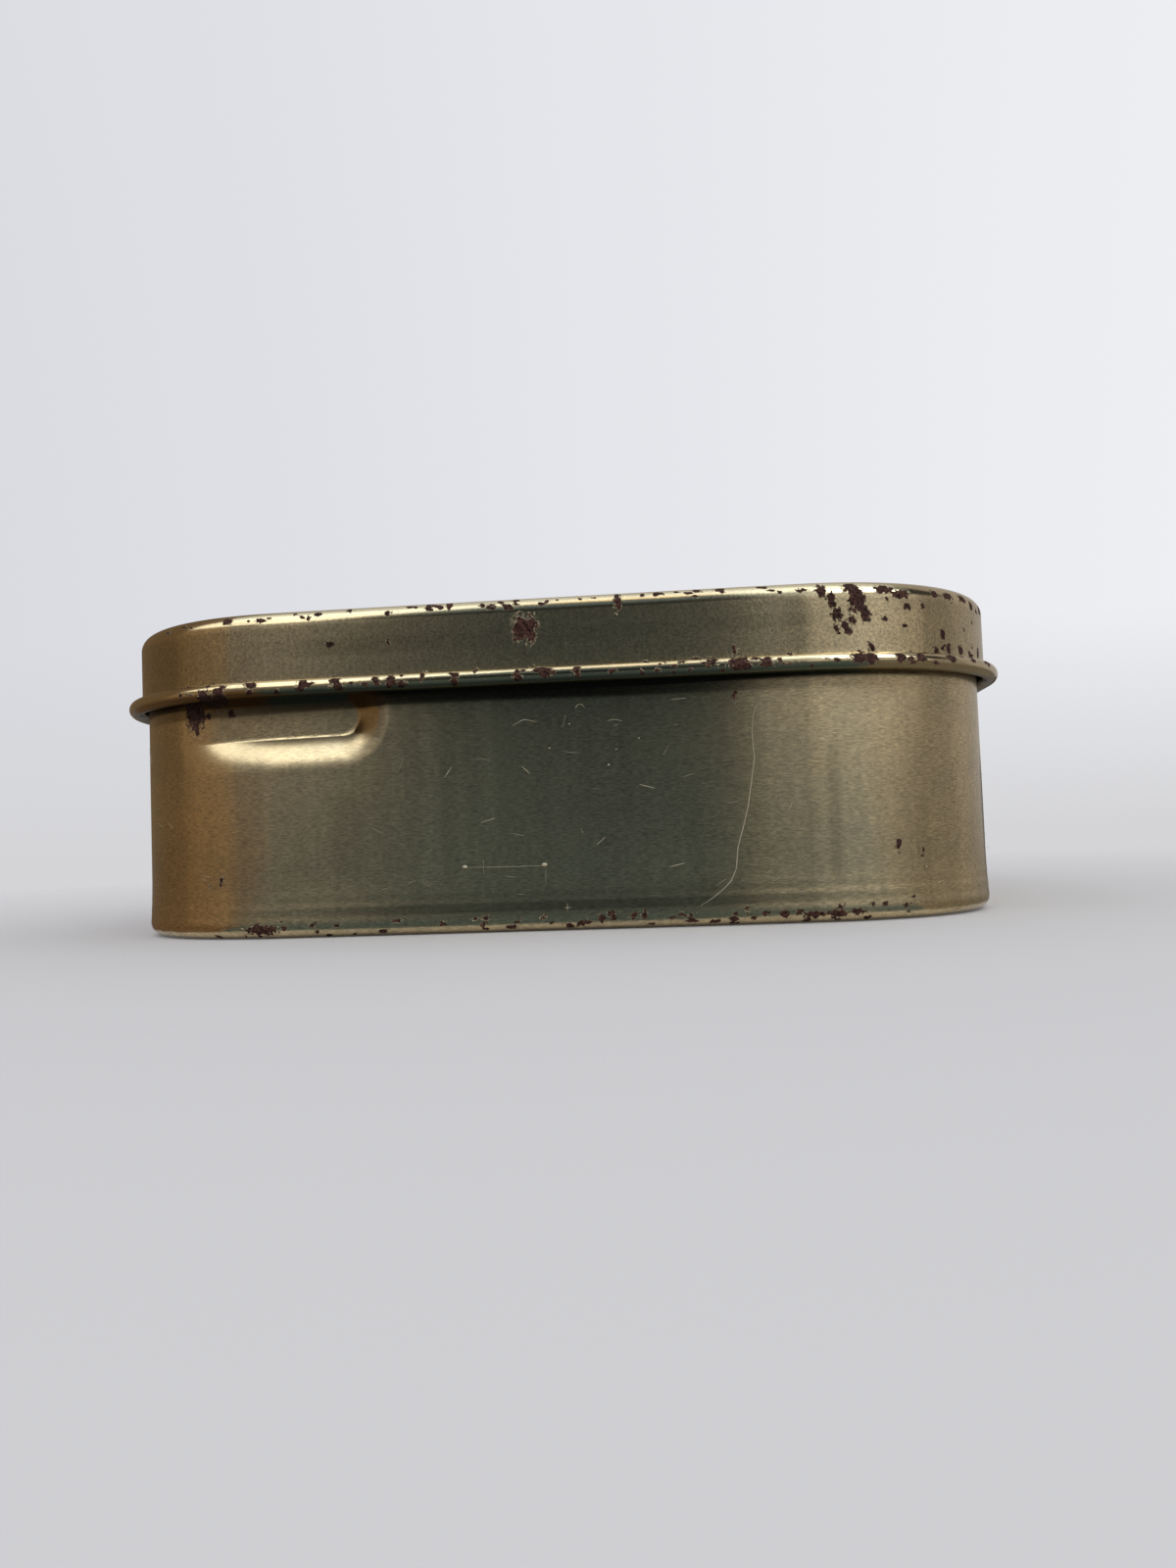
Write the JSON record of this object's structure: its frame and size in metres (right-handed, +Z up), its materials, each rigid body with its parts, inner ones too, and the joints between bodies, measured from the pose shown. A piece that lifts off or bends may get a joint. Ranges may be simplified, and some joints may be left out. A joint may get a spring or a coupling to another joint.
{
  "type": "pocket tobacco tin",
  "caption": "Shut flat tin with rounded corners, a slip-on lid with a rolled bead, and a thumb recess under the bead at one short end; gold-lacquered sheet metal, chipped and worn.",
  "frame": {"origin": "middle of the footprint, on the surface that the tin stands on", "axes": "+Z up through the lid, X across the short ends, +Y along the tin; the end with the thumb recess faces -Y"},
  "size_m": [0.0866, 0.1116, 0.0295],
  "materials": {
    "body_lacquered_metal": "satin gold lacquer over rolled tinplate, scratched, with rust chips along its edges",
    "lid_lacquered_metal": "satin gold lacquer over drawn tinplate, with rust chips along the bead and the top edge"
  },
  "bodies": {
    "root": {"tin_body": "body_lacquered_metal", "lid": "lid_lacquered_metal"}
  },
  "joints": []
}
